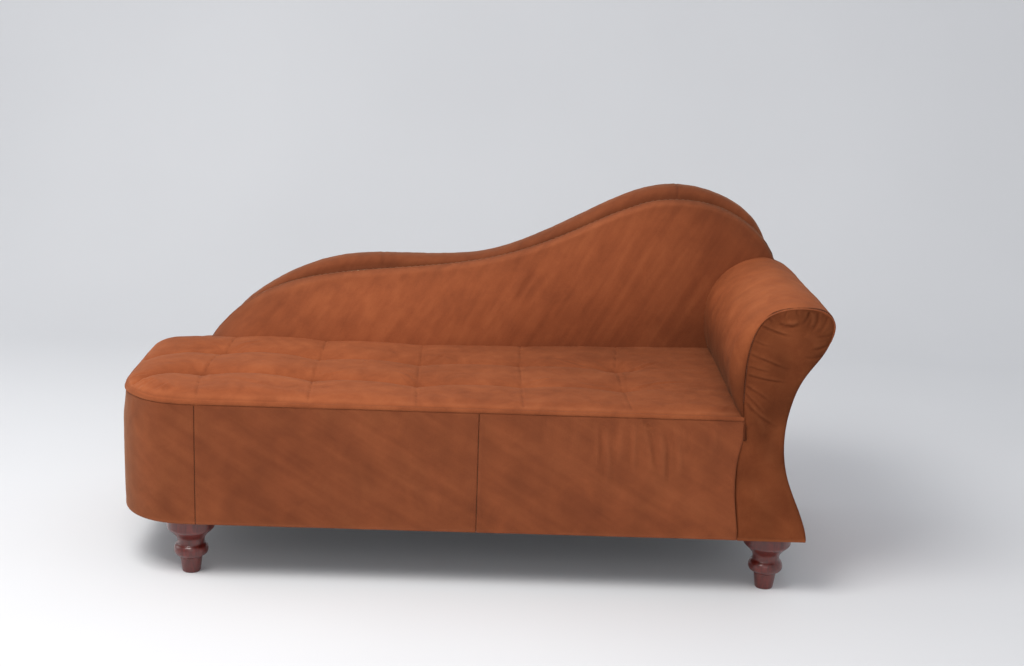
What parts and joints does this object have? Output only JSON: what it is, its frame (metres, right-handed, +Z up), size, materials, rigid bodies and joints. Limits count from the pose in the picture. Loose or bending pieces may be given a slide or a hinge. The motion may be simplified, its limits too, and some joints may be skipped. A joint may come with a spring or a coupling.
{
  "type": "fainting couch",
  "caption": "Upholstered fainting couch: rounded foot end, low to high serpentine back, one scrolled arm at the head end, biscuit tufted seat and turned legs.",
  "frame": {"origin": "on the floor, under the middle of the outer box", "axes": "+X from the rounded foot end to the scrolled head end, +Y from the open front to the back, +Z up"},
  "size_m": [1.6456, 0.67, 0.8701],
  "materials": {
    "turned_hardwood": "gloss",
    "zinc_plated_steel": "satin",
    "spring_wire": "satin",
    "plywood": "matte",
    "softwood": "matte",
    "liner_board": "matte",
    "foam": "matte",
    "wadding": "matte",
    "dust_cloth": "matte",
    "twine": "matte",
    "rust_microfibre": "matte"
  },
  "bodies": {
    "root": {"arm_facing_cover": "rust_microfibre", "arm_facing_pad": "wadding", "arm_front_profile": "plywood", "arm_inner_liner": "liner_board", "arm_rear_profile": "plywood", "arm_roll_cover": "rust_microfibre", "arm_roll_foam": "foam", "arm_slats": "softwood", "back_front_profile_rail": "plywood", "back_post_foot": "softwood", "back_post_head": "softwood", "back_post_high": "softwood", "back_post_low": "softwood", "back_post_middle": "softwood", "back_rear_profile_rail": "softwood", "base_studs": "softwood", "border_cover_foot": "rust_microfibre", "border_cover_left": "rust_microfibre", "border_cover_right": "rust_microfibre", "border_wadding": "wadding", "cross_rails": "softwood", "dust_cover": "dust_cloth", "dust_cover_staples": "zinc_plated_steel", "foot_corner_board_front": "plywood", "foot_corner_board_rear": "plywood", "foot_end_board": "plywood", "foot_end_lower_former": "softwood", "foot_end_upper_former": "softwood", "foot_end_uprights": "softwood", "frame_screws": "zinc_plated_steel", "front_board": "plywood", "front_lower_rail": "softwood", "front_upper_rail": "softwood", "hanger_bolts": "zinc_plated_steel", "inside_back_board": "plywood", "inside_back_cover": "rust_microfibre", "inside_back_foam": "foam", "leg_blocks": "softwood", "leg_bolt_nuts_and_washers": "zinc_plated_steel", "leg_foot_front": "turned_hardwood", "leg_foot_rear": "turned_hardwood", "leg_head_front": "turned_hardwood", "leg_head_rear": "turned_hardwood", "outside_arm_board": "liner_board", "outside_arm_cover": "rust_microfibre", "outside_arm_wadding": "wadding", "outside_back_cover": "rust_microfibre", "outside_back_wadding": "wadding", "rear_lower_rail": "softwood", "rear_upper_rail": "softwood", "rim_cover": "rust_microfibre", "rim_foam": "foam", "rim_liner": "liner_board", "seat_cover": "rust_microfibre", "seat_foam": "foam", "seat_springs": "spring_wire", "seat_tuft_ties": "twine", "spring_clips": "zinc_plated_steel", "spring_insulator_pad": "wadding", "spring_tie_wires": "spring_wire"}
  },
  "joints": []
}
